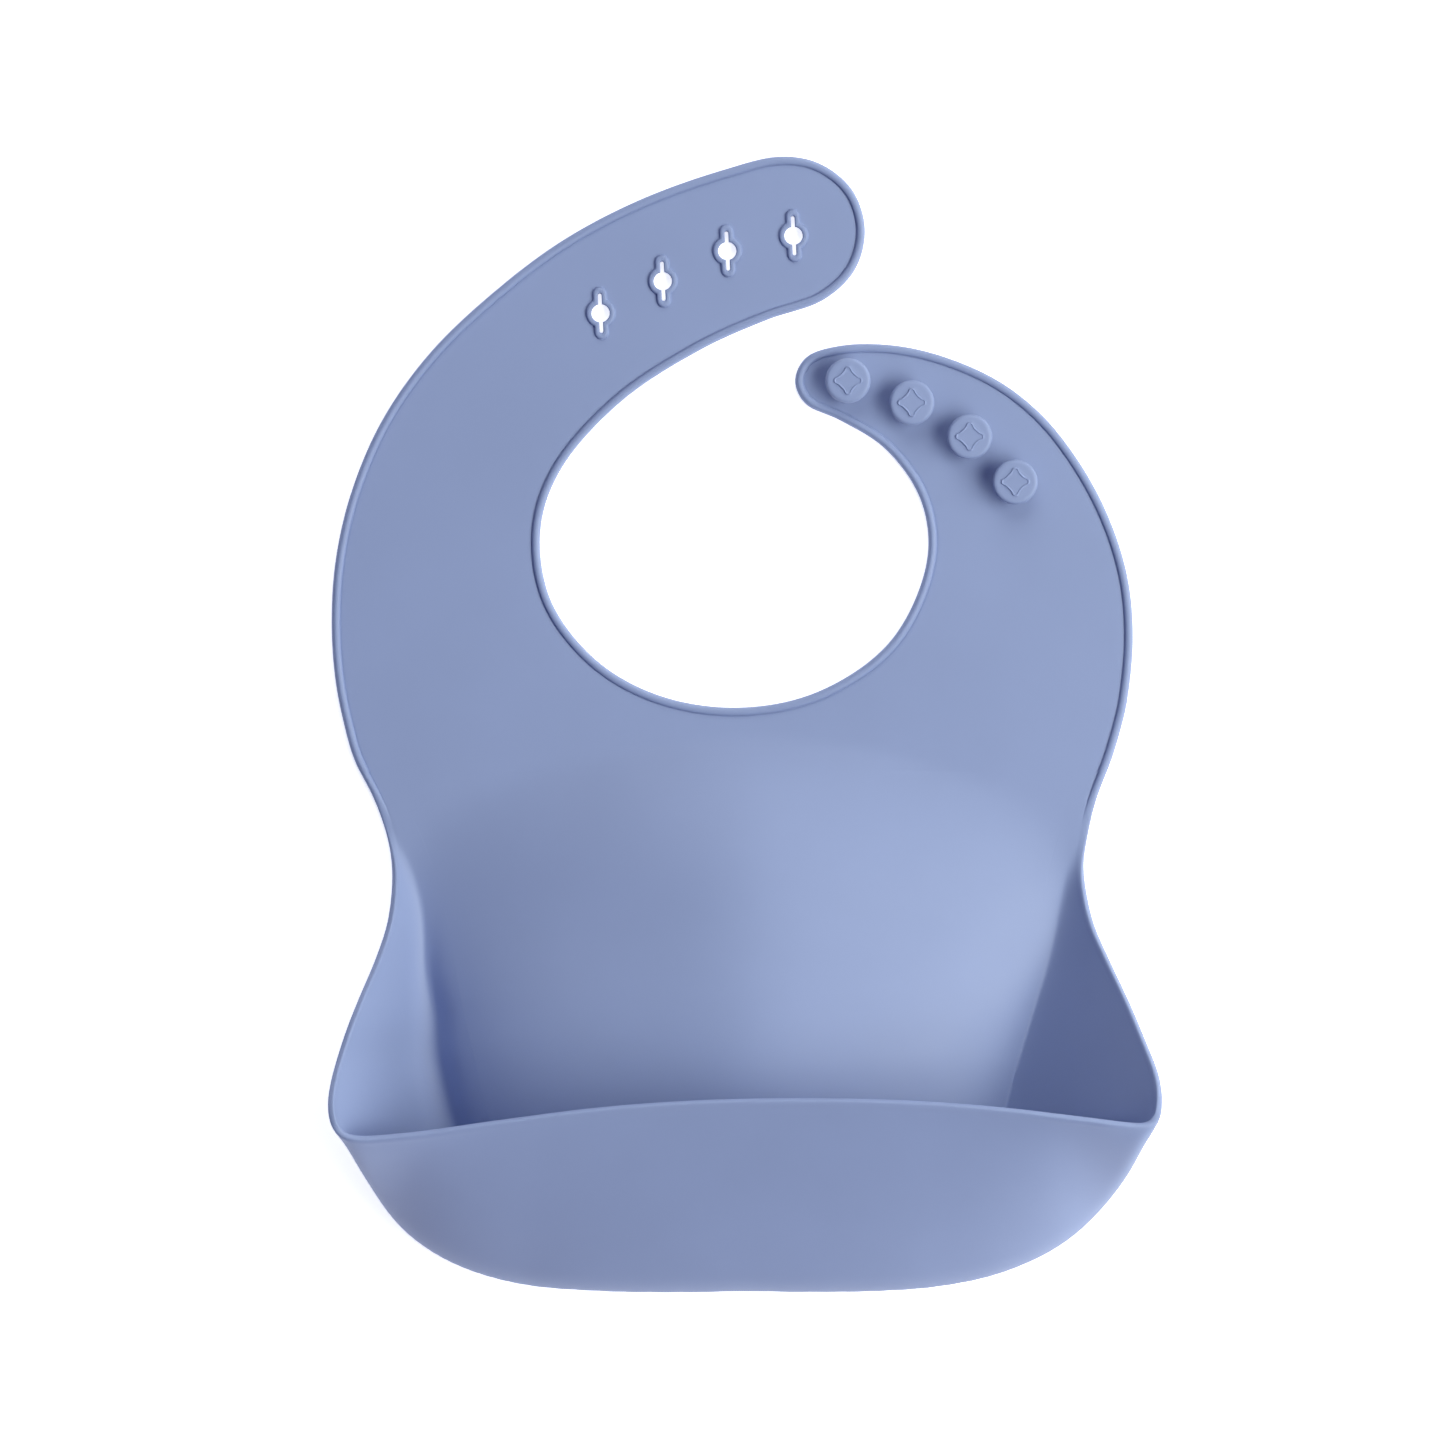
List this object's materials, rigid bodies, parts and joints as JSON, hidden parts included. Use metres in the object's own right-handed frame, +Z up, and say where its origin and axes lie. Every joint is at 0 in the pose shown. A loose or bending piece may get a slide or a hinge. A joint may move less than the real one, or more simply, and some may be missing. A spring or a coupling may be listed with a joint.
{
  "type": "silicone bib",
  "caption": "Soft silicone baby bib with an open crumb pocket, a wide neck strap with keyholes and a tapering neck strap with button studs.",
  "frame": {"origin": "centre of the bounding box on plan, at the height of the surface that the bib lies on", "axes": "+X across the bib towards the strap with studs, +Y from the pocket to the neck straps, +Z up from the surface it lies on; the pocket opens towards +Y and +Z"},
  "size_m": [0.2212, 0.3047, 0.0471],
  "materials": {
    "silicone": "matte"
  },
  "bodies": {
    "pocket_body": {"lower_panel": "silicone", "gusset_left": "silicone", "gusset_right": "silicone"},
    "pocket_wall": {"pocket_front": "silicone"},
    "neck_plate": {"yoke": "silicone"},
    "hole_shoulder": {"hole_strap_base": "silicone"},
    "hole_end": {"hole_strap_tip": "silicone", "keyhole_collar_1": "silicone", "keyhole_collar_2": "silicone", "keyhole_collar_3": "silicone", "keyhole_collar_4": "silicone"},
    "stud_shoulder": {"stud_strap_base": "silicone", "stud_3": "silicone", "stud_4": "silicone"},
    "stud_end": {"stud_strap_tip": "silicone", "stud_1": "silicone", "stud_2": "silicone"}
  },
  "joints": [
    {"name": "panel_fold", "type": "hinge", "parent": "pocket_body", "child": "neck_plate", "pos_m": [0.00055, 0.00015, 0.0014], "axis": [1, 0, 0], "range_deg": [-60, 60], "stiffness_Nm_per_rad": 0.02},
    {"name": "hole_strap_bend_1", "type": "hinge", "parent": "neck_plate", "child": "hole_shoulder", "pos_m": [-0.08045, 0.03375, 0.0014], "axis": [1, 0, 0], "range_deg": [-60, 60], "stiffness_Nm_per_rad": 0.004},
    {"name": "hole_strap_bend_2", "type": "hinge", "parent": "hole_shoulder", "child": "hole_end", "pos_m": [-0.05645, 0.09955, 0.0014], "axis": [0.6606, -0.7507, 0], "range_deg": [-60, 60], "stiffness_Nm_per_rad": 0.003},
    {"name": "stud_strap_bend_1", "type": "hinge", "parent": "neck_plate", "child": "stud_shoulder", "pos_m": [0.07655, 0.03375, 0.0014], "axis": [1, 0, 0], "range_deg": [-60, 60], "stiffness_Nm_per_rad": 0.004},
    {"name": "stud_strap_bend_2", "type": "hinge", "parent": "stud_shoulder", "child": "stud_end", "pos_m": [0.05355, 0.08355, 0.0014], "axis": [0.46, 0.8879, 0], "range_deg": [-60, 54], "stiffness_Nm_per_rad": 0.002},
    {"name": "pocket_flex", "type": "hinge", "parent": "pocket_body", "child": "pocket_wall", "pos_m": [0.00055, -0.15005, 0.0041], "axis": [1, 0, 0], "range_deg": [-12, 15], "stiffness_Nm_per_rad": 0.4, "deforming": ["gusset_left", "gusset_right"]}
  ]
}
